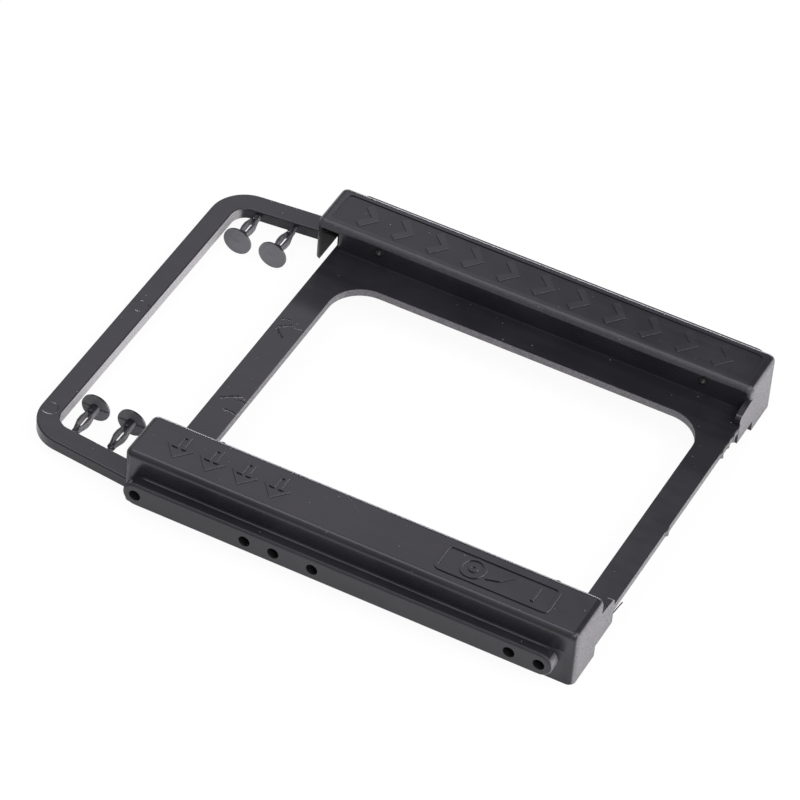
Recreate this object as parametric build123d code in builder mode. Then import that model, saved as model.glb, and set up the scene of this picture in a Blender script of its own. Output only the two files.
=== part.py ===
"""Adapter bracket that carries a 2.5 inch drive in a 3.5 inch drive bay, moulded in one piece.

X runs along the rails, with the runner loop at -X. Y runs across the bay and Z is up.
The origin is under the middle of the whole bracket, on the surface that it stands on.
All lengths are in millimetres.
"""

import os

from build123d import *

# Bay and drive that the bracket fits
bay_width = 101.6
bay_hole_pitch = 60.0
bay_hole_short_pitch = 44.45
bay_hole_height = 5.4
bay_hole_diameter = 2.6
drive_width = 69.85
drive_clearance = 0.15
drive_hole_pitch = 76.6
drive_hole_setback = 9.6
drive_hole_height = 4.0

# Rails
rail_length = 103.0
rail_height = 14.0
rail_corner = 1.6
rail_round = 1.4
outer_wall = 1.8
inner_wall = 2.0
top_wall = 1.8
end_wall = 1.3
skirt_lift = 2.7
skirt_setback = 1.0
end_wall_lift = 3.1
wall_end_round = 1.6

# Shallow field in the top of the back rail
field_margin = 2.1
field_corner = 1.5
field_depth = 0.2

# Ledges that carry the bay holes
ledge_depth = 2.8
ledge_height = 5.8
ledge_round = 0.6
ledge_bevel = 0.5
front_hole_inset = 4.3
rear_hole_inset = 6.6
rear_hole_step = 6.65
back_ledge_inset = 2.6
back_ledge_drop = 2.7

# Stops that catch the end of the drive
stop_reach = 4.8
stop_height = 7.8
stop_slope = 0.8
stop_round = 1.2

# Drive pegs
peg_diameter = 1.6
peg_reach = 1.3
peg_chamfer = 0.5

# Floor plate and its window
floor_top = 7.7
floor_thickness = 1.8
floor_inset = 4.7
left_bar = 7.0
right_bar = 6.0
back_strip = 7.6
front_strip = 1.5
window_corner = 8.0
window_front_corner = 2.0

# Runner loop
runner_reach = 26.0
runner_root_inset = 1.3
runner_taper = 2.5
runner_width = 5.0
runner_height = 2.6
runner_lift = 2.05
runner_corner = 8.5
runner_round = 0.4

# Split push pins on the runner
pin_inset = 7.8
pin_pitch = 8.6
pin_length = 9.7
pin_head_diameter = 6.6
pin_head_dome = 0.25
pin_head_rim = 0.45
pin_neck_diameter = 2.3
pin_neck_length = 2.3
pin_bulge_diameter = 2.9
pin_bulge_length = 1.2
pin_waist_diameter = 1.75
pin_nose_length = 1.3
pin_leg_thickness = 1.7
pin_gate_diameter = 1.0
pin_gate_length = 0.2
pin_slot_width = 1.1
pin_slot_stop = 0.7
pin_rib_width = 0.4
pin_rib_height = 0.2

# Overlap that joins one region of the moulding to the next
bite = 0.5

# Places worked out from the sizes above
overall_length = runner_reach + rail_length
rail_right = overall_length / 2
rail_left = rail_right - rail_length
rail_centre = (rail_left + rail_right) / 2
inner_face = (drive_width + drive_clearance) / 2
outer_face = bay_width / 2 - ledge_depth
rail_width = outer_face - inner_face
rail_middle = (outer_face + inner_face) / 2
cavity_height = rail_height - top_wall
skirt_face = inner_face + inner_wall + skirt_setback
floor_left = rail_left + floor_inset
floor_bottom = floor_top - floor_thickness

first_hole = rail_left + front_hole_inset
last_hole = rail_right - rear_hole_inset
fifth_hole = last_hole - rear_hole_step
bay_hole_places = (
    first_hole,
    fifth_hole - bay_hole_pitch,
    last_hole - bay_hole_pitch,
    fifth_hole - bay_hole_short_pitch,
    fifth_hole,
    last_hole,
)

peg_right = rail_right - end_wall - drive_hole_setback
peg_places = (peg_right - drive_hole_pitch, peg_right)
peg_height = floor_top + drive_hole_height

arm_end = rail_left + bite
arm_root = outer_face - runner_root_inset - runner_width / 2
runner_axis = rail_left - runner_reach + runner_width / 2
arm_tip = arm_root - runner_taper
arm_flare = (arm_root - arm_tip) / (arm_end - runner_axis)

pin_places = (rail_left - pin_inset - pin_pitch, rail_left - pin_inset)
pin_axis_height = runner_lift + runner_height / 2
pin_arm_face = arm_tip + arm_flare * (pin_places[0] - runner_axis) - runner_width / 2
pin_head_face = pin_arm_face - pin_gate_length - pin_length

# Front rail: a block with rounded edges, hollow from below
with BuildPart() as rail:
    with BuildSketch():
        with Locations((rail_centre, -rail_middle)):
            RectangleRounded(rail_length, rail_width, rail_corner)
    extrude(amount=rail_height)
    fillet(rail.faces().sort_by(Axis.Z)[-1].edges(), radius=rail_round)

    # Cavity under the top wall
    cavity_length = rail_length - 2 * end_wall
    cavity_width = rail_width - outer_wall - inner_wall
    with BuildSketch():
        with Locations((rail_centre, -(outer_face - outer_wall - cavity_width / 2))):
            Rectangle(cavity_length, cavity_width)
    extrude(amount=cavity_height, mode=Mode.SUBTRACT)

    # The inner wall and the left end wall stop short of the ground
    cut_width = skirt_face - inner_face + bite
    cut_middle = -(inner_face - bite + cut_width / 2)
    with BuildSketch():
        with Locations((rail_centre, cut_middle)):
            Rectangle(rail_length, cut_width)
    extrude(amount=skirt_lift, mode=Mode.SUBTRACT)
    with BuildSketch():
        with Locations((rail_left, -inner_face + bite)):
            Rectangle(floor_inset, rail_width - outer_wall + bite, align=(Align.MIN, Align.MAX))
    extrude(amount=end_wall_lift, mode=Mode.SUBTRACT)

    # Opening in the inner wall between the left end wall and the floor plate
    with BuildSketch():
        with Locations((rail_left + end_wall, cut_middle)):
            Rectangle(floor_inset - end_wall, cut_width, align=(Align.MIN, Align.CENTER))
    extrude(amount=cavity_height, mode=Mode.SUBTRACT)
    upright_edges = rail.edges().filter_by(Axis.Z)
    wall_end_edges = upright_edges.filter_by_position(Axis.X, floor_left - bite, floor_left + bite)
    fillet(wall_end_edges.sort_by(Axis.Y)[-1], radius=wall_end_round)

    # Pegs with tapered tips that snap into the drive's side holes
    peg_planes = [Plane((x, -inner_face, peg_height), z_dir=(0, 1, 0)) for x in peg_places]
    with BuildSketch(*peg_planes):
        Circle(peg_diameter / 2)
    extrude(amount=peg_reach)
    peg_tips = rail.faces().filter_by(Axis.Y).sort_by(Axis.Y)[-len(peg_places) :]
    chamfer(peg_tips.edges(), length=peg_chamfer)

    # Stop: the right end wall runs on past the inner face, under a sloping top
    stop_plane = Plane.YZ.offset(rail_right - end_wall)
    with BuildSketch(stop_plane) as stop:
        with BuildLine():
            Polyline(
                (-inner_face - rail_corner, skirt_lift),
                (-inner_face + stop_reach, skirt_lift),
                (-inner_face + stop_reach, skirt_lift + stop_height - stop_slope),
                (-inner_face, skirt_lift + stop_height),
                (-inner_face - rail_corner, skirt_lift + stop_height),
                close=True,
            )
        make_face()
        fillet(stop.vertices().group_by(Axis.X)[-1].sort_by(Axis.Y)[-1], radius=stop_round)
    extrude(amount=end_wall)

# Front ledge: a bar with round ends about the first and last bay holes
with BuildPart() as front_ledge:
    ledge_start = first_hole - ledge_height / 2
    ledge_end = last_hole + ledge_height / 2
    with BuildSketch(Plane.XZ.offset(outer_face - bite)):
        with Locations(((ledge_start + ledge_end) / 2, bay_hole_height)):
            SlotOverall(ledge_end - ledge_start, ledge_height)
    extrude(amount=ledge_depth + bite)
    fillet(front_ledge.faces().sort_by(Axis.Y)[0].edges(), radius=ledge_round)

# Back ledge: the same bar, taller, so that its top shows past the rail
with BuildPart() as back_ledge:
    back_ledge_bottom = bay_hole_height - ledge_height / 2
    back_ledge_top = rail_height - back_ledge_drop
    back_ledge_height = back_ledge_top - back_ledge_bottom
    with BuildSketch(Plane.XZ.offset(-bay_width / 2)):
        with Locations((rail_centre, back_ledge_bottom + back_ledge_height / 2)):
            RectangleRounded(rail_length - 2 * back_ledge_inset, back_ledge_height, ledge_height / 2)
    extrude(amount=ledge_depth + bite)
    chamfer(back_ledge.faces().sort_by(Axis.Y)[-1].edges(), length=ledge_bevel)

# Floor plate with a large round-cornered window
with BuildPart() as floor_plate:
    with BuildSketch(Plane.XY.offset(floor_bottom)):
        with Locations((floor_left, 0)):
            Rectangle(rail_right - floor_left, 2 * (inner_face + inner_wall), align=(Align.MIN, Align.CENTER))
    extrude(amount=floor_thickness)
    window_left = floor_left + left_bar
    window_length = rail_right - right_bar - window_left
    window_width = 2 * inner_face - back_strip - front_strip
    with BuildSketch(Plane.XY.offset(floor_bottom)) as window:
        with Locations((window_left, -inner_face + front_strip)):
            Rectangle(window_length, window_width, align=(Align.MIN, Align.MIN))
        fillet(window.vertices().group_by(Axis.Y)[-1], radius=window_corner)
        fillet(window.vertices().group_by(Axis.Y)[0], radius=window_front_corner)
    extrude(amount=floor_thickness, mode=Mode.SUBTRACT)

# Runner loop: a bar bent into a U, with its ends in the left end walls
with BuildPart() as runner:
    with BuildSketch(Plane.XY.offset(runner_lift)):
        with BuildLine():
            FilletPolyline(
                (arm_end, -arm_root),
                (runner_axis, -arm_tip),
                (runner_axis, arm_tip),
                (arm_end, arm_root),
                radius=runner_corner - runner_width / 2,
            )
        trace(line_width=runner_width)
    extrude(amount=runner_height)
    fillet(runner.faces().sort_by(Axis.Z)[-1].edges(), radius=runner_round)

# Split push pin, drawn from its head to the gate that joins it to the back arm
with BuildPart() as pin:
    pin_plane = Plane((0, pin_head_face, pin_axis_height), x_dir=(0, 1, 0), z_dir=(0, 0, 1))
    pin_line = Axis((0, pin_head_face, pin_axis_height), (0, 1, 0))
    head_radius = pin_head_diameter / 2
    dome_radius = (pin_head_dome**2 + head_radius**2) / (2 * pin_head_dome)
    head_back = pin_head_dome + pin_head_rim
    neck_end = head_back + pin_neck_length
    nose_start = pin_length - pin_nose_length
    slot_end = nose_start - pin_slot_stop
    bulge_middle = (neck_end + slot_end) / 2
    gate_end = arm_tip - pin_head_face
    with BuildSketch(pin_plane):
        with BuildLine():
            dome = RadiusArc((0, 0), (pin_head_dome, head_radius), dome_radius)
            neck = Polyline(
                dome @ 1,
                (head_back, head_radius),
                (head_back, pin_neck_diameter / 2),
                (neck_end, pin_neck_diameter / 2),
            )
            Polyline(
                neck @ 1,
                (bulge_middle - pin_bulge_length / 2, pin_bulge_diameter / 2),
                (bulge_middle + pin_bulge_length / 2, pin_bulge_diameter / 2),
                (nose_start, pin_waist_diameter / 2),
                (pin_length - pin_waist_diameter / 4, pin_waist_diameter / 2),
                (pin_length, pin_gate_diameter / 2),
                (gate_end, pin_gate_diameter / 2),
                (gate_end, 0),
                (0, 0),
            )
        make_face()
    revolve(axis=pin_line)

    # Flats above and below the legs, and the slot between them
    for side in (-1, 1):
        with BuildSketch(pin_plane.offset(side * pin_leg_thickness / 2)):
            with Locations((neck_end, 0)):
                Rectangle(slot_end - neck_end, 2 * pin_bulge_diameter, align=(Align.MIN, Align.CENTER))
        extrude(amount=side * pin_bulge_diameter, mode=Mode.SUBTRACT)
    with BuildSketch(pin_plane):
        with Locations(((neck_end + slot_end) / 2, 0)):
            SlotOverall(slot_end - neck_end, pin_slot_width)
    extrude(amount=pin_bulge_diameter, both=True, mode=Mode.SUBTRACT)

    # Rib across the back of the head, where the two halves of the mould meet
    with BuildSketch(pin_plane):
        with Locations((head_back, 0)):
            Rectangle(2 * pin_rib_height, pin_head_diameter - 2 * pin_rib_height)
    extrude(amount=pin_rib_width / 2, both=True)

# The whole moulding
with BuildPart() as adapter_bracket:
    add(rail.part)
    mirror(rail.part, about=Plane.XZ)
    add(front_ledge.part)
    add(back_ledge.part)
    add(floor_plate.part)
    add(runner.part)
    for place in pin_places:
        back_pin = pin.part.moved(Location((place, 0, 0)))
        add(back_pin)
        mirror(back_pin, about=Plane.XZ)

    # Shallow field in the back rail's top, inside its rounded edges
    with BuildSketch(Plane.XY.offset(rail_height)):
        with Locations((rail_centre, rail_middle)):
            RectangleRounded(rail_length - 2 * field_margin, rail_width - 2 * field_margin, field_corner)
    extrude(amount=-field_depth, mode=Mode.SUBTRACT)

    # Bay holes through each ledge into the hollow of its rail
    for side in (-1, 1):
        ledge_face = side * bay_width / 2
        hole_planes = [Plane((x, ledge_face, bay_hole_height), z_dir=(0, side, 0)) for x in bay_hole_places]
        with Locations(*hole_planes):
            Hole(bay_hole_diameter / 2, depth=ledge_depth + outer_wall + bite)

os.makedirs("parts", exist_ok=True)
adapter_bracket.part.label = "adapter_bracket"
export_step(adapter_bracket.part, "parts/adapter_bracket.step")
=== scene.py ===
"""Looks of the drive bay adapter bracket: black plastic, moulded marks and a plain white studio."""
import math
import random

import bmesh
import bpy
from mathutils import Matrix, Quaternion, Vector


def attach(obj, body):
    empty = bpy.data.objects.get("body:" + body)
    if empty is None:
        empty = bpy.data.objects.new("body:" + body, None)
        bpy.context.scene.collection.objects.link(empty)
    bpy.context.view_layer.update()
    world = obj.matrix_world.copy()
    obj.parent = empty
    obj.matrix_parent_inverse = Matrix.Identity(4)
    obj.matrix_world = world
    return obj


MM = 0.001
BODY = "root"

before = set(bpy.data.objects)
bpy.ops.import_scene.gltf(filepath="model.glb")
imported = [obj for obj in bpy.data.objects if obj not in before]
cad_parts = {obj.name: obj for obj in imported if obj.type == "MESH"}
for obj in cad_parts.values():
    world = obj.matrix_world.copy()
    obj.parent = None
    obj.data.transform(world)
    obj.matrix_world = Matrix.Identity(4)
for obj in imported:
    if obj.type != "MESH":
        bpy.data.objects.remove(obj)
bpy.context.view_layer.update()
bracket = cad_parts["adapter_bracket"]

# Heights on the bracket, in millimetres
TOP = 14.0
FIELD_FLOOR = 13.8
PEG_HEIGHT = 11.7
LEDGE_TOP = 8.3
FLOOR_TOP = 7.7
FLOOR_MIDDLE = 6.8
HOLE_HEIGHT = 5.4
RUNNER_TOP = 4.65

# Distances from the middle line to the rails' faces
INNER_FACE = 35.0
RAIL_MIDDLE = 41.5
OUTER_FACE = 48.0
LEDGE_FACE = 50.8

# Places along the rails
RAIL_LEFT = -38.5
RAIL_RIGHT = 64.5
END_WALL = 1.3
HOLE_RADIUS = 1.3
PEG_PLACES = (-23.0, 53.6)

# Marks of the mould and of handling: where each line starts and ends, and its width
NICKS = (
    ((-32.1, -18.2), (-29.1, -16.2), 0.40),
    ((-28.3, -17.1), (-26.9, -17.4), 0.28),
    ((-29.8, -21.1), (-28.3, -21.0), 0.32),
    ((-28.3, -21.0), (-27.0, -21.3), 0.36),
    ((-32.3, 7.1), (-29.9, 8.8), 0.36),
    ((-32.1, 6.1), (-29.5, 4.1), 0.30),
    ((-32.6, 9.6), (-30.9, 10.1), 0.26),
)
# Raised burrs beside the nicks, whose paler colour is a painted highlight
BURRS_AND_GLINTS = (
    ((-28.5, -16.5), (-27.5, -16.7), 0.5),
    ((-28.9, 8.1), (-27.2, 8.3), 0.3),
)
SCUFF = ((6.5, -36.0), (11.4, -39.4), 0.12)

# Rings that ejector pins left on the runner
RING_PLACES = ((-61.8, 0.4), (-62.3, -36.6))
RING_RADIUS = 1.7
RING_WIDTH = 0.22

# Colours of the plastic. Some stand in for light: the frost grey is partly a painted sheen, the bright
# grey a painted reflection, the scraped grey partly a painted highlight, and the unlit black is painted
# shade.
DEEP_BLACK = (0.0125, 0.0120, 0.0146, 1.0)
PALE_BLACK = (0.0176, 0.0169, 0.0208, 1.0)
FROST_AND_SHEEN = (0.235, 0.228, 0.240, 1.0)
BRIGHT_SHEEN = (0.46, 0.45, 0.46, 1.0)
MATTE_GREY = (0.115, 0.113, 0.121, 1.0)
SCRAPED_AND_HIGHLIGHT = (0.050, 0.049, 0.055, 1.0)
UNLIT = (0.004, 0.004, 0.0045, 1.0)

# Colours of the dust, the studio and its lamps
DARK_DUST = (0.16, 0.155, 0.15, 1.0)
PALE_DUST = (0.42, 0.41, 0.40, 1.0)
PAPER = (0.9, 0.9, 0.9, 1.0)
WHITE = (1.0, 1.0, 1.0, 1.0)
BLACK = (0.0, 0.0, 0.0, 1.0)
NEUTRAL_LAMP = (1.0, 0.98, 1.0)
COOL_LAMP = (0.92, 0.89, 1.0)


class Wire:
    """A value on its way through a material: each operator adds one Math node."""

    def __init__(self, net, socket):
        self.net = net
        self.socket = socket

    def math(self, operation, *values):
        return self.net.add("ShaderNodeMath", {"operation": operation}, *values)

    def __add__(self, other):
        return self.math("ADD", self, other)

    def __sub__(self, other):
        return self.math("SUBTRACT", self, other)

    def __rsub__(self, other):
        return self.math("SUBTRACT", other, self)

    def __mul__(self, other):
        return self.math("MULTIPLY", self, other)

    def __abs__(self):
        return self.math("ABSOLUTE", self)

    def larger(self, other):
        return self.math("MAXIMUM", self, other)

    def root(self):
        return self.math("SQRT", self)

    def ramp(self, low, high):
        """0 at low and 1 at high, smooth between; high may be the smaller of the two."""
        settings = {"interpolation_type": "SMOOTHSTEP"}
        return self.net.add("ShaderNodeMapRange", settings, self, low, high, 0.0, 1.0)

    __radd__ = __add__
    __rmul__ = __mul__


class Tree:
    """A node tree, filled by one method for any node."""

    def __init__(self, tree):
        self.tree = tree

    def node(self, kind, settings=None, *values, **named):
        """A node with its settings, then its sockets by order and by name."""
        made = self.tree.nodes.new(kind)
        for key, value in (settings or {}).items():
            setattr(made, key, value)
        for place, value in [*enumerate(values), *named.items()]:
            if isinstance(place, str):
                place = place.replace("_", " ")
            self.feed(made.inputs[place], value)
        return made

    def feed(self, socket, value):
        """A link where the value comes from another node, and a plain setting otherwise."""
        if isinstance(value, Wire):
            value = value.socket
        if isinstance(value, bpy.types.NodeSocket):
            self.tree.links.new(value, socket)
        else:
            socket.default_value = value


class Net(Tree):
    """The node tree of a material or of the world."""

    def __init__(self, owner):
        owner.use_nodes = True
        super().__init__(owner.node_tree)
        self.owner = owner
        self.tree.nodes.clear()

    def add(self, kind, settings=None, *values, out=0, **named):
        """A node, giving one of its outputs to go on with."""
        return Wire(self, self.node(kind, settings, *values, **named).outputs[out])

    def split(self, vector):
        """The three numbers of a vector."""
        made = self.node("ShaderNodeSeparateXYZ", None, vector)
        return [Wire(self, output) for output in made.outputs]

    def noise(self, vector, scale, detail=2.0):
        return self.add("ShaderNodeTexNoise", None, Vector=vector, Scale=scale, Detail=detail)

    def stretch(self, vector, x, y, z):
        """A vector with its three numbers scaled each in its own way."""
        return self.add("ShaderNodeVectorMath", {"operation": "MULTIPLY"}, vector, (x, y, z))

    def blend(self, factor, first, second):
        """A colour between two colours."""
        made = self.node("ShaderNodeMix", {"data_type": "RGBA"}, factor)
        self.feed(made.inputs[6], first)
        self.feed(made.inputs[7], second)
        return Wire(self, made.outputs[2])

    def surface(self, shader):
        self.node("ShaderNodeOutputMaterial", None, shader)
        return self.owner


class Skin:
    """A point of the bracket's surface: its place in millimetres, its normal and its textures."""

    def __init__(self, net):
        self.net = net
        metres = net.add("ShaderNodeTexCoord", out="Object")
        self.place = net.stretch(metres, 1 / MM, 1 / MM, 1 / MM)
        self.x, self.y, self.z = net.split(self.place)
        self.nx, self.ny, self.nz = net.split(net.add("ShaderNodeNewGeometry", out="Normal"))
        self.up = self.nz.ramp(0.9, 0.98)
        self.upright = abs(self.ny).ramp(0.9, 0.97)

        # Slow clouds, flow streaks along the rails, slow waves, a fine skin and a coarser grain
        self.cloud = net.noise(self.place, 0.07, 3.0)
        self.streak = net.noise(net.stretch(self.place, 0.02, 0.5, 0.5), 1.0, 3.0)
        self.wave = net.noise(self.place, 0.11, 1.0)
        self.fine = net.noise(self.place, 3.2, 2.0)
        self.grain = net.noise(self.place, 2.5, 1.0)
        self.speckle = self.grain.ramp(0.3, 0.7)

        # The same place with a ragged shift, for torn lines
        self.ragged_x = self.x + (net.noise(self.place, 1.1) - 0.5) * 0.8
        self.ragged_y = self.y + (net.noise(self.place, 1.4) - 0.5) * 0.8

    def level(self, height):
        """1 on level faces at one height."""
        above = self.z.ramp(height - 0.3, height - 0.1)
        below = self.z.ramp(height + 0.3, height + 0.1)
        return self.up * above * below


def largest(masks):
    """The largest of several masks."""
    first, *others = masks
    for other in others:
        first = first.larger(other)
    return first


def groove(x, y, start, end, width):
    """1 on a straight line between two points of a level face, 0 away from it."""
    (x0, y0), (x1, y1) = start, end
    length = math.hypot(x1 - x0, y1 - y0)
    ux, uy = (x1 - x0) / length, (y1 - y0) / length
    along = (x - x0) * ux + (y - y0) * uy
    across = abs((y - y0) * ux - (x - x0) * uy)
    past = abs(along - length / 2) - length / 2
    return across.ramp(width, 0.3 * width) * past.ramp(width, 0.0)


def bay_holes(at):
    """1 inside the bay holes."""
    near_axis = abs(at.z - HOLE_HEIGHT).ramp(HOLE_RADIUS + 0.15, HOLE_RADIUS)
    in_wall = abs(at.y).ramp(OUTER_FACE - 2.0, OUTER_FACE - 1.6)
    round_wall = abs(at.ny).ramp(0.6, 0.3)
    from_first = at.x.ramp(RAIL_LEFT + 1.7, RAIL_LEFT + 2.1)
    to_last = at.x.ramp(RAIL_RIGHT - 4.3, RAIL_RIGHT - 4.9)
    return near_axis * in_wall * round_wall * from_first * to_last


def frost_and_sheen_faces(at, bore):
    """1 on the faces that look to the right, less on the window's edge, 0 in bores and hollows. Their
    pale colour is frost grain and partly a painted sheen, standing in for the light they catch from the
    right.
    """
    hollow = abs(at.x - (RAIL_LEFT + END_WALL)).ramp(0.6, 0.4)
    short_of_flash = at.x.ramp(RAIL_RIGHT + 0.08, RAIL_RIGHT + 0.04)
    faces = at.nx.ramp(0.6, 0.9) * (1.0 - bore.larger(hollow)) * short_of_flash
    steep = abs(at.nz).ramp(0.4, 0.2)
    in_plate = abs(at.z - FLOOR_MIDDLE).ramp(0.95, 0.88)
    between_rails = abs(at.y).ramp(INNER_FACE - 0.4, INNER_FACE - 0.8)
    past_left_edge = at.x.ramp(RAIL_LEFT + 6.5, RAIL_LEFT + 8.5)
    window_edge = steep * in_plate * between_rails * past_left_edge
    return faces.larger(window_edge * 0.6)


def pin_heads(at):
    """1 on the flat faces of the push pins' heads."""
    beyond_rails = at.x.ramp(RAIL_LEFT - 1.5, RAIL_LEFT - 2.5)
    short_of_arms = abs(at.y).ramp(INNER_FACE - 3.8, INNER_FACE - 4.1)
    return abs(at.ny).ramp(0.8, 0.95) * beyond_rails * short_of_arms


def drive_pegs(at):
    """1 on the pegs of both rails."""
    beside = largest(abs(at.x - place).ramp(1.1, 0.95) for place in PEG_PLACES)
    at_height = abs(at.z - PEG_HEIGHT).ramp(1.1, 0.95)
    past_tip = abs(at.y).ramp(INNER_FACE - 1.8, INNER_FACE - 1.6)
    short_of_wall = abs(at.y).ramp(INNER_FACE - 0.01, INNER_FACE - 0.04)
    return beside * at_height * past_tip * short_of_wall


def worn_and_sheen_edge(at):
    """1 in patches on the back rail's inner top edge: a matte band of wear, painted paler as the
    highlight this round catches.
    """
    on_edge = at.y.ramp(INNER_FACE - 0.2, INNER_FACE - 0.05)
    on_edge = on_edge * at.y.ramp(INNER_FACE + 1.6, INNER_FACE + 1.2)
    sloping = at.nz.ramp(0.05, 0.3) * at.nz.ramp(0.99, 0.93)
    near_top = at.z.ramp(TOP - 1.7, TOP - 1.3)
    return on_edge * sloping * near_top * (0.55 + at.speckle * 0.45)


def dull_rounds(at):
    """Extra roughness of the rounds along the front of the ledge and of the front rail."""
    sloping = at.nz.ramp(0.12, 0.25) * at.nz.ramp(0.99, 0.95) * at.ny.ramp(-0.1, -0.2)
    ledge_edge = at.y.ramp(0.7 - LEDGE_FACE, 0.5 - LEDGE_FACE)
    rail_edge = at.y.ramp(1.6 - OUTER_FACE, 1.4 - OUTER_FACE)
    return sloping * (ledge_edge * 0.3 + rail_edge * 0.1)


def recessed_field(at):
    """1 on the field in the back rail's top, fading to the right."""
    at_height = abs(at.z - FIELD_FLOOR).ramp(0.15, 0.1)
    on_rail = at.y.ramp(INNER_FACE + 2.0, INNER_FACE + 2.2)
    return at.up * at_height * on_rail * at.x.ramp(56.0, 30.0)


def ejector_rings(at):
    """1 in patches on the ejector pins' rings."""
    rings = []
    for ring_x, ring_y in RING_PLACES:
        dx, dy = at.x - ring_x, at.y - ring_y
        out = (dx * dx + dy * dy).root()
        rings.append(abs(out - RING_RADIUS).ramp(RING_WIDTH, 0.2 * RING_WIDTH))
    patches = at.net.noise(at.place, 0.5).ramp(0.42, 0.55)
    return largest(rings) * at.level(RUNNER_TOP) * patches


def ragged_lines(at, lines):
    """1 on several torn lines of a level face."""
    return largest(groove(at.ragged_x, at.ragged_y, *line) for line in lines)


def front_wall(at):
    """1 on the front rail's outer wall."""
    outside = at.y.ramp(0.2 - OUTER_FACE, 0.05 - OUTER_FACE)
    short_of_ledge = at.y.ramp(-0.2 - OUTER_FACE, -0.1 - OUTER_FACE)
    return at.upright * outside * short_of_ledge


def coves_and_highlight(at, wall):
    """1 along the foot of a wall, where it meets the front ledge or the floor plate: a small cove,
    painted paler as its highlight.
    """
    above_ledge = wall * at.z.ramp(LEDGE_TOP + 0.5, LEDGE_TOP)
    in_front = at.y.ramp(1.0 - OUTER_FACE, 0.4 - OUTER_FACE)
    near_wall = at.y.ramp(-0.5 - OUTER_FACE, -OUTER_FACE)
    on_ledge = at.level(LEDGE_TOP) * in_front * near_wall
    inner_wall = at.upright * abs(abs(at.y) - INNER_FACE).ramp(0.1, 0.05)
    above_floor = inner_wall * at.z.ramp(FLOOR_TOP + 0.25, FLOOR_TOP)
    foot = (above_ledge + on_ledge).larger(above_floor * 0.5)
    from_left = at.x.ramp(RAIL_LEFT + 4.0, RAIL_LEFT + 5.5)
    to_right = at.x.ramp(RAIL_RIGHT - 1.5, RAIL_RIGHT - 4.5)
    return foot * from_left * to_right


def black_plastic():
    """Moulded black plastic: cool near-black, semi-gloss, with frost-grained end faces and handling
    marks, and painted sheen, highlights and shade in its colour.
    """
    net = Net(bpy.data.materials.new("black_plastic"))
    at = Skin(net)
    bore = bay_holes(at)
    frost_and_sheen = frost_and_sheen_faces(at, bore)
    head = pin_heads(at)
    peg = drive_pegs(at)
    worn_and_sheen = worn_and_sheen_edge(at)
    ring = ejector_rings(at)
    on_floor = at.level(FLOOR_TOP)
    nick = on_floor * ragged_lines(at, NICKS)
    burr_and_glint = on_floor * ragged_lines(at, BURRS_AND_GLINTS)
    scuff = at.level(TOP) * groove(at.x, at.y, *SCUFF)
    wall = front_wall(at)
    foot = coves_and_highlight(at, wall)

    # Colour: the clouded black, then each layer over the ones before it
    tone = (at.cloud * 0.6 + at.streak * 0.4).ramp(0.35, 0.65)
    # The runner's inner side is painted paler still: a painted reflection of the bright table
    runner_sheen = frost_and_sheen * at.x.ramp(-57.0, -58.0)
    layers = (
        # Frost grain, partly a painted sheen on the faces that look to the right
        (frost_and_sheen * (0.52 + at.speckle * 0.42), FROST_AND_SHEEN),
        (runner_sheen * 0.7, BRIGHT_SHEEN),
        (head, MATTE_GREY),
        (scuff * 0.5, SCRAPED_AND_HIGHLIGHT),
        # Painted highlight on the back rail's inner top round, over its matte wear
        (worn_and_sheen * 0.8, SCRAPED_AND_HIGHLIGHT),
        # Painted shade in the recessed field, fading to the right
        (recessed_field(at) * 0.6, UNLIT),
        # Painted highlight on the burrs beside the nicks
        (burr_and_glint * 0.5, SCRAPED_AND_HIGHLIGHT),
        # Painted shade in the bay holes, in the nicks' grooves and on the pegs
        (largest([bore, nick, peg]), UNLIT),
        # Painted highlight along the coves at the walls' feet
        (foot * (0.3 + at.cloud.ramp(0.3, 0.7) * 0.4), SCRAPED_AND_HIGHLIGHT),
    )
    colour = net.blend(tone, DEEP_BLACK, PALE_BLACK)
    for mask, paint in layers:
        colour = net.blend(mask, colour, paint)

    rough = 0.16 + tone * 0.05 + at.fine * 0.05 + dull_rounds(at)
    rough = rough + frost_and_sheen * 0.25 + head * 0.2 + scuff * 0.2 + bore * 0.4
    rough = rough + worn_and_sheen * 0.3 + nick * 0.5 + burr_and_glint * 0.3 + peg * 0.05

    # Relief: the floor dips a little towards the back rail, and the front wall leans over its ledge
    dip = at.y.ramp(12.0, 36.0) * on_floor
    lean = at.z.ramp(7.0, 16.0) * wall
    relief = at.fine * (0.0016 + frost_and_sheen * 0.03) + at.wave * 0.08 + worn_and_sheen * at.grain * 0.03
    relief = relief - ring * 0.06 - nick * 0.10 + burr_and_glint * 0.06 + foot * 0.12
    relief = relief - dip * 2.6 + lean * 0.7
    bump = net.add("ShaderNodeBump", None, Strength=1.0, Distance=MM, Height=relief)
    return net.surface(net.add(
        "ShaderNodeBsdfPrincipled", None,
        Base_Color=colour, Roughness=rough, IOR=1.45, Normal=bump,
    ))


def dust_grey():
    """Pale matte dust."""
    net = Net(bpy.data.materials.new("dust_grey"))
    tone = net.noise(net.add("ShaderNodeTexCoord", out="Object"), 900.0)
    colour = net.blend(tone, DARK_DUST, PALE_DUST)
    return net.surface(net.add("ShaderNodeBsdfPrincipled", None, Base_Color=colour, Roughness=0.9))


plastic = black_plastic()
dust = dust_grey()
bracket.data.materials.clear()
bracket.data.materials.append(plastic)


def piece(name, mesh, material):
    """A finished mesh as a piece that belongs to the bracket."""
    mesh.name = name
    mesh.shade_flat()
    mesh.materials.clear()
    mesh.materials.append(material)
    made = bpy.data.objects.new(name, mesh)
    bpy.context.scene.collection.objects.link(made)
    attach(made, BODY)


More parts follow.
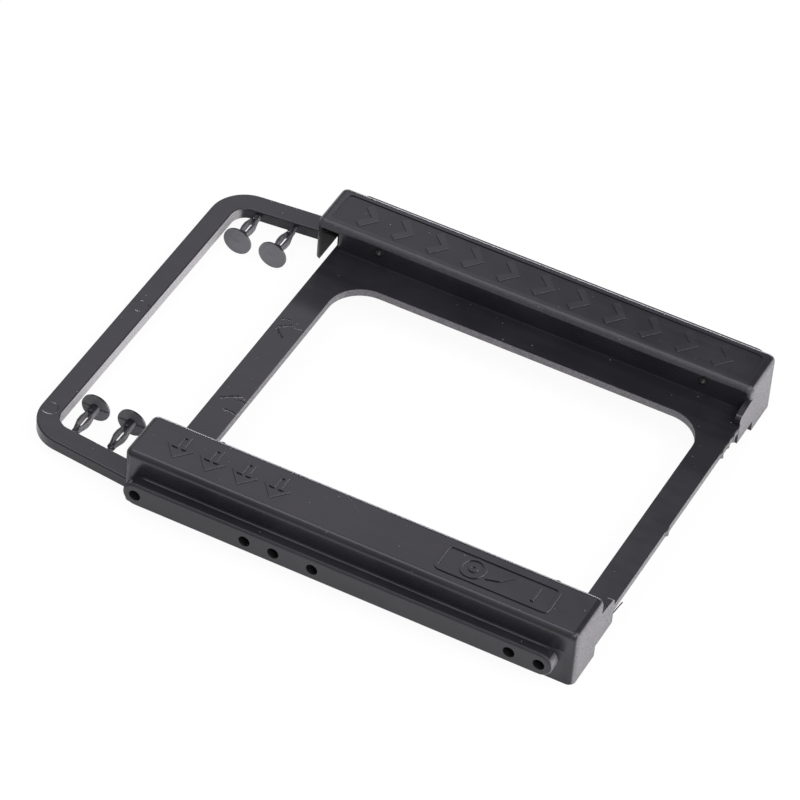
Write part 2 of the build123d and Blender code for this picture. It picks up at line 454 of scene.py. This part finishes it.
class Grid(Tree):
    """A geometry node tree with named inputs."""

    def __init__(self, name):
        super().__init__(bpy.data.node_groups.new(name, "GeometryNodeTree"))
        self.tree.interface.new_socket("Geometry", in_out="OUTPUT", socket_type="NodeSocketGeometry")
        self.inputs = self.tree.nodes.new("NodeGroupInput")
        self.values = {}

    def size(self, name, value, kind="NodeSocketFloat"):
        """A named input, and the value that this piece gives it."""
        socket = self.tree.interface.new_socket(name, in_out="INPUT", socket_type=kind)
        self.values[socket.identifier] = value
        return self.inputs.outputs[name]

    def times(self, value, factor):
        return self.node("ShaderNodeMath", {"operation": "MULTIPLY"}, value, factor).outputs[0]

    def vector(self, **parts):
        return self.node("ShaderNodeCombineXYZ", None, **parts).outputs[0]

    def mesh(self, geometry, material):
        """Runs the tree on an empty object and keeps the plain mesh."""
        real = self.node("GeometryNodeRealizeInstances", None, Geometry=geometry)
        dressed = self.node(
            "GeometryNodeSetMaterial", None,
            Geometry=real.outputs["Geometry"], Material=material,
        )
        end = self.tree.nodes.new("NodeGroupOutput")
        self.tree.links.new(dressed.outputs["Geometry"], end.inputs["Geometry"])
        holder = bpy.data.objects.new(self.tree.name, bpy.data.meshes.new(self.tree.name))
        bpy.context.scene.collection.objects.link(holder)
        grower = holder.modifiers.new(self.tree.name, "NODES")
        grower.node_group = self.tree
        for identifier, value in self.values.items():
            grower[identifier] = value
        graph = bpy.context.evaluated_depsgraph_get()
        made = bpy.data.meshes.new_from_object(holder.evaluated_get(graph))
        holder.modifiers.remove(grower)
        bpy.data.objects.remove(holder)
        return made


def chevron_row():
    """Plain chevrons in a row, raised from the field in the back rail's top."""
    grid = Grid("chevron_row")
    count = grid.size("Count", 11, "NodeSocketInt")
    pitch = grid.size("Pitch", 8.4 * MM)
    tall = grid.size("Height", 6.2 * MM)
    point = grid.size("Point", 2.8 * MM)
    stroke = grid.size("Stroke", 1.8 * MM)
    raised = grid.size("Raised", 0.38 * MM)
    line = grid.node(
        "GeometryNodeCurvePrimitiveLine", None,
        Start=grid.vector(Y=grid.times(tall, -0.5)), End=grid.vector(Y=grid.times(tall, 0.5)),
    )
    three = grid.node("GeometryNodeResampleCurve", None, Curve=line.outputs[0], Count=3)
    number = grid.node("GeometryNodeInputIndex")
    middle = grid.node("FunctionNodeCompare", {"data_type": "INT", "operation": "EQUAL"})
    grid.feed(middle.inputs[2], number.outputs[0])
    grid.feed(middle.inputs[3], 1)
    bent = grid.node(
        "GeometryNodeSetPosition", None,
        Geometry=three.outputs[0], Selection=middle.outputs[0], Offset=grid.vector(X=point),
    )
    bar = grid.node("GeometryNodeCurvePrimitiveQuadrilateral", None, Width=stroke, Height=raised)
    swept = grid.node(
        "GeometryNodeCurveToMesh", None,
        Curve=bent.outputs[0], Profile_Curve=bar.outputs[0], Fill_Caps=True,
    )
    row = grid.node("GeometryNodeMeshLine", None, Count=count, Offset=grid.vector(X=pitch))
    placed = grid.node(
        "GeometryNodeInstanceOnPoints", None,
        Points=row.outputs[0], Instance=swept.outputs[0],
    )
    mesh = grid.mesh(placed.outputs[0], plastic)
    first_chevron = -30.4
    shift = Vector((first_chevron, RAIL_MIDDLE, FIELD_FLOOR)) * MM
    for corner in mesh.vertices:
        corner.co += shift
    piece("chevron_row", mesh, plastic)


def dust_specks():
    """Specks of dust scattered over the faces that look up."""
    grid = Grid("dust_specks")
    seed = grid.size("Seed", 7, "NodeSocketInt")
    density = grid.size("Specks per square metre", 14000.0)
    radius = grid.size("Radius", 0.10 * MM)
    least_up = 0.5
    smallest = (0.4, 0.4, 0.25)
    biggest = (1.5, 1.0, 0.5)
    source = grid.node("GeometryNodeObjectInfo", {"transform_space": "ORIGINAL"}, Object=bracket)
    normal = grid.node("GeometryNodeInputNormal")
    split = grid.node("ShaderNodeSeparateXYZ", None, Vector=normal.outputs[0])
    upward = grid.node(
        "FunctionNodeCompare", {"data_type": "FLOAT", "operation": "GREATER_THAN"},
        split.outputs["Z"], least_up,
    )
    spots = grid.node(
        "GeometryNodeDistributePointsOnFaces", None,
        Mesh=source.outputs["Geometry"], Selection=upward.outputs[0], Density=density, Seed=seed,
    )
    speck = grid.node("GeometryNodeMeshIcoSphere", None, Radius=radius, Subdivisions=1)
    size = grid.node(
        "FunctionNodeRandomValue", {"data_type": "FLOAT_VECTOR"},
        smallest, biggest, Seed=seed,
    )
    placed = grid.node(
        "GeometryNodeInstanceOnPoints", None,
        Points=spots.outputs["Points"], Instance=speck.outputs["Mesh"],
        Rotation=spots.outputs["Rotation"], Scale=size.outputs[0],
    )
    piece("dust_specks", grid.mesh(placed.outputs[0], dust), dust)


def loft(shape, rings, closed=False):
    """Faces from ring to ring, with an end cap on each side unless the rings close on themselves."""
    following = rings[1:] + rings[:1] if closed else rings[1:]
    for first, second in zip(rings, following):
        for i in range(len(first)):
            j = (i + 1) % len(first)
            shape.faces.new((first[i], first[j], second[j], second[i]))
    if not closed:
        shape.faces.new(reversed(rings[0]))
        shape.faces.new(rings[-1])


def plastic_piece(name, shape):
    """A piece of the plastic from a shape that is built."""
    bmesh.ops.recalc_face_normals(shape, faces=shape.faces)
    mesh = bpy.data.meshes.new(name)
    shape.to_mesh(mesh)
    shape.free()
    piece(name, mesh, plastic)


def raised_strokes(name, paths, width, low, high):
    """Strokes with a flat top and sloping sides along flat paths; each path is (points, closed)."""
    shape = bmesh.new()
    slope = 0.12
    profile = ((-1, low), (-1 + slope, high), (1 - slope, high), (1, low))
    for points, closed in paths:
        count = len(points)
        rings = []
        for i, point in enumerate(points):
            here = Vector(point)
            before = Vector(points[i - 1]) if closed or i > 0 else here
            after = Vector(points[(i + 1) % count]) if closed or i < count - 1 else here
            back = (here - before).normalized() if here != before else (after - here).normalized()
            ahead = (after - here).normalized() if after != here else back
            along = (back + ahead).normalized()
            across = Vector((-along.y, along.x))
            stretch = 1.0 / max(0.5, along.dot(ahead))
            ring = []
            for side, height in profile:
                spot = here + across * (side * stretch * width / 2)
                ring.append(shape.verts.new((spot.x * MM, spot.y * MM, height * MM)))
            rings.append(ring)
        loft(shape, rings, closed)
    plastic_piece(name, shape)


def arc(centre, radius, start, end, steps):
    """Points on a part of a circle, angles in degrees."""
    spots = []
    for i in range(steps + 1):
        angle = math.radians(start + (end - start) * i / steps)
        spots.append((centre[0] + radius * math.cos(angle), centre[1] + radius * math.sin(angle)))
    return spots


def round_box(centre, length, height, corner, steps=5):
    """The outline of a rectangle with round corners."""
    cx, cy = centre
    hx, hy = length / 2 - corner, height / 2 - corner
    spots = []
    for sx, sy, start in ((1, 1, 0), (-1, 1, 90), (-1, -1, 180), (1, -1, 270)):
        spots += arc((cx + sx * hx, cy + sy * hy), corner, start, start + 90, steps)
    return spots


# The marks on the front rail start a little below its top
MARK_FOOT = TOP - 0.1
MARK_TOP = TOP + 0.26


def side_arrow_mark():
    """Arrows that point to the rail's outer side, at the left end of the front rail."""
    y = -RAIL_MIDDLE
    half_length = 3.0
    half_head = 2.4
    half_shaft = 0.7
    neck = y - 0.2
    paths = []
    for x in (-29.0, -21.5, -14.0, -6.5):
        paths.append(([
            (x - half_shaft, y + half_length),
            (x - half_shaft, neck),
            (x - half_head, neck),
            (x, y - half_length),
            (x + half_head, neck),
            (x + half_shaft, neck),
            (x + half_shaft, y + half_length),
        ], True))
    raised_strokes("side_arrow_mark", paths, width=0.7, low=MARK_FOOT, high=MARK_TOP)


def drive_mark():
    """A plain drawing of a disk drive, at the right end of the front rail."""
    y = -RAIL_MIDDLE
    spindle = (38.0, y)
    case = (round_box((43.5, y), length=25.0, height=7.0, corner=1.0), True)
    disc = (arc(spindle, radius=2.5, start=0, end=345, steps=23), True)
    hub = (arc(spindle, radius=0.75, start=0, end=330, steps=11), True)
    arm = ([(46.2, y + 1.9), (44.0, y - 0.4), (41.2, y - 1.2)], False)
    plug = ([(52.0, y - 2.1), (52.0, y + 2.1)], False)
    paths = [case, disc, hub, arm, plug]
    raised_strokes("drive_mark", paths, width=0.75, low=MARK_FOOT, high=MARK_TOP)


def edge_flash():
    """Ragged moulding flash on the floor plate's right edge, by the back rail and at one more spot."""
    chance = random.Random(11)
    lumps = ((29.6, 0.5), (27.0, 0.7), (24.6, 0.35), (21.4, 0.6), (-5.2, 0.5))
    lump_spread = 0.55
    inside = RAIL_RIGHT - 0.12
    shape = bmesh.new()
    for y_start, y_end, count in ((17.0, 31.2, 56), (-6.6, -4.0, 12)):
        rings = []
        for i in range(count + 1):
            y = y_start + (y_end - y_start) * i / count
            fade = min(1.0, 4.0 * i / count, 8.0 * (count - i) / count)
            lump = sum(size * math.exp(-((y - spot) / lump_spread) ** 2) for spot, size in lumps)
            out = fade * (0.10 + 0.45 * lump + 0.06 * chance.random())
            drop = fade * (0.75 + 0.9 * lump + 0.15 * chance.random())
            profile = (
                (inside, FLOOR_TOP - 0.05),
                (RAIL_RIGHT + 0.6 * out, FLOOR_TOP - 0.12),
                (RAIL_RIGHT + out + 0.06, FLOOR_TOP - 0.4 - drop),
                (inside, FLOOR_TOP - 0.7 - drop),
            )
            rings.append([shape.verts.new((px * MM, y * MM, pz * MM)) for px, pz in profile])
        loft(shape, rings)
    plastic_piece("edge_flash", shape)


def flash_thread():
    """A thin sliver of flash that sticks out of the front rail's stop, below the floor plate."""
    route = bpy.data.curves.new("flash_thread", "CURVE")
    route.dimensions = "3D"
    route.bevel_depth = 0.15 * MM
    route.bevel_resolution = 2
    route.use_fill_caps = True
    spots = ((64.2, -30.6, 4.9), (64.3, -28.9, 4.65), (64.3, -27.3, 4.45), (64.3, -25.2, 3.9))
    line = route.splines.new("NURBS")
    line.points.add(len(spots) - 1)
    for point, spot in zip(line.points, spots):
        point.co = (*(Vector(spot) * MM), 1.0)
    line.order_u = 3
    line.use_endpoint_u = True
    holder = bpy.data.objects.new("flash_thread_route", route)
    bpy.context.scene.collection.objects.link(holder)
    graph = bpy.context.evaluated_depsgraph_get()
    mesh = bpy.data.meshes.new_from_object(holder.evaluated_get(graph))
    bpy.data.objects.remove(holder)
    piece("flash_thread", mesh, plastic)


chevron_row()
side_arrow_mark()
drive_mark()
edge_flash()
flash_thread()
dust_specks()


def kinds_of_look(net):
    """1 where the studio is seen by the camera, in a reflection, and through a clear material."""
    path = net.node("ShaderNodeLightPath")
    return [Wire(net, path.outputs[f"Is {kind} Ray"]) for kind in ("Camera", "Glossy", "Transmission")]


def studio_floor():
    """A wide white table that stays white to the eye and keeps a faint shadow."""
    half = 4.0
    mesh = bpy.data.meshes.new("studio_floor")
    corners = [(-half, -half, 0.0), (half, -half, 0.0), (half, half, 0.0), (-half, half, 0.0)]
    mesh.from_pydata(corners, [], [(0, 1, 2, 3)])
    floor = bpy.data.objects.new("studio_floor", mesh)
    bpy.context.scene.collection.objects.link(floor)
    net = Net(bpy.data.materials.new("white_table"))
    paper = net.add("ShaderNodeBsdfDiffuse", None, Color=PAPER)
    camera, glossy, clear = kinds_of_look(net)

    # Reflections show the white past the bracket, dimmer in front of it, and its shadow under it
    x, y, _ = net.split(net.add("ShaderNodeTexCoord", out="Object"))
    away = (x * x + y * y).root().ramp(0.07, 0.16)
    in_front = y.ramp(-0.063, -0.078)
    behind = y.ramp(0.052, 0.062)
    tint = net.blend(glossy * in_front * 0.7, WHITE, BLACK)
    glow = net.add("ShaderNodeEmission", None, Color=tint, Strength=1.0)
    mirrored = 0.1 + largest([away, in_front, behind]) * 0.85
    share = camera.larger(clear) * 0.94 + glossy * mirrored
    mesh.materials.append(net.surface(net.add("ShaderNodeMixShader", None, share, paper, glow)))


def studio_world():
    """White to the eye; in reflections white behind, dim above and in front; half for bounced light."""
    world = bpy.data.worlds.new("white_room")
    bpy.context.scene.world = world
    net = Net(world)
    camera, glossy, clear = kinds_of_look(net)
    direct = camera.larger(clear)
    _, depth, height = net.split(net.add("ShaderNodeTexCoord", out="Generated"))
    behind = abs(height).ramp(0.40, 0.15) * 0.76 + 0.24
    ahead = height.ramp(0.0, 0.9) * 0.4 + 0.22
    backdrop = ahead + (behind - ahead) * depth.ramp(-0.2, 0.2)
    bounced = (1.0 - direct.larger(glossy)) * 0.5
    strength = largest([direct, glossy * backdrop, bounced])
    shade = net.add("ShaderNodeBackground", None, Color=WHITE, Strength=strength)
    net.node("ShaderNodeOutputWorld", None, shade)


def softbox(name, place, width, height, power, colour):
    """A flat lamp that points at the bracket."""
    lamp = bpy.data.lights.new(name, "AREA")
    lamp.shape = "RECTANGLE"
    lamp.size = width
    lamp.size_y = height
    lamp.energy = power
    lamp.color = colour
    box = bpy.data.objects.new(name, lamp)
    box.location = place
    box.rotation_mode = "QUATERNION"
    box.rotation_quaternion = (-Vector(place)).to_track_quat("-Z", "Y")
    bpy.context.scene.collection.objects.link(box)


def photograph_camera():
    """The camera at the photograph's place, with its slight roll."""
    place = Vector((307.5, -689.1, 720.8)) * MM
    aim = Vector((-0.15, 1.0, 7.0)) * MM
    roll = math.radians(5.02)
    data = bpy.data.cameras.new("photograph_camera")
    data.sensor_width = 36.0
    data.lens = 224.47
    data.clip_start = 0.01
    data.clip_end = 50.0
    camera = bpy.data.objects.new("photograph_camera", data)
    camera.location = place
    camera.rotation_mode = "QUATERNION"
    turn = Quaternion((0.0, 0.0, 1.0), roll)
    camera.rotation_quaternion = (aim - place).to_track_quat("-Z", "Y") @ turn
    bpy.context.scene.collection.objects.link(camera)
    bpy.context.scene.camera = camera


studio_floor()
studio_world()
softbox("right_softbox", (0.77, -0.25, 0.81), width=1.7, height=0.8, power=14.8, colour=NEUTRAL_LAMP)
softbox("left_softbox", (-0.60, 0.527, 0.906), width=0.95, height=0.62, power=2.0, colour=COOL_LAMP)
softbox("overhead_softbox", (-0.36, 0.0, 1.14), width=0.6, height=0.6, power=3.8, colour=COOL_LAMP)
softbox("rim_softbox", (-0.35, 1.5, 0.14), width=1.3, height=0.2, power=9.0, colour=COOL_LAMP)
photograph_camera()
bpy.context.scene.view_settings.view_transform = "Standard"
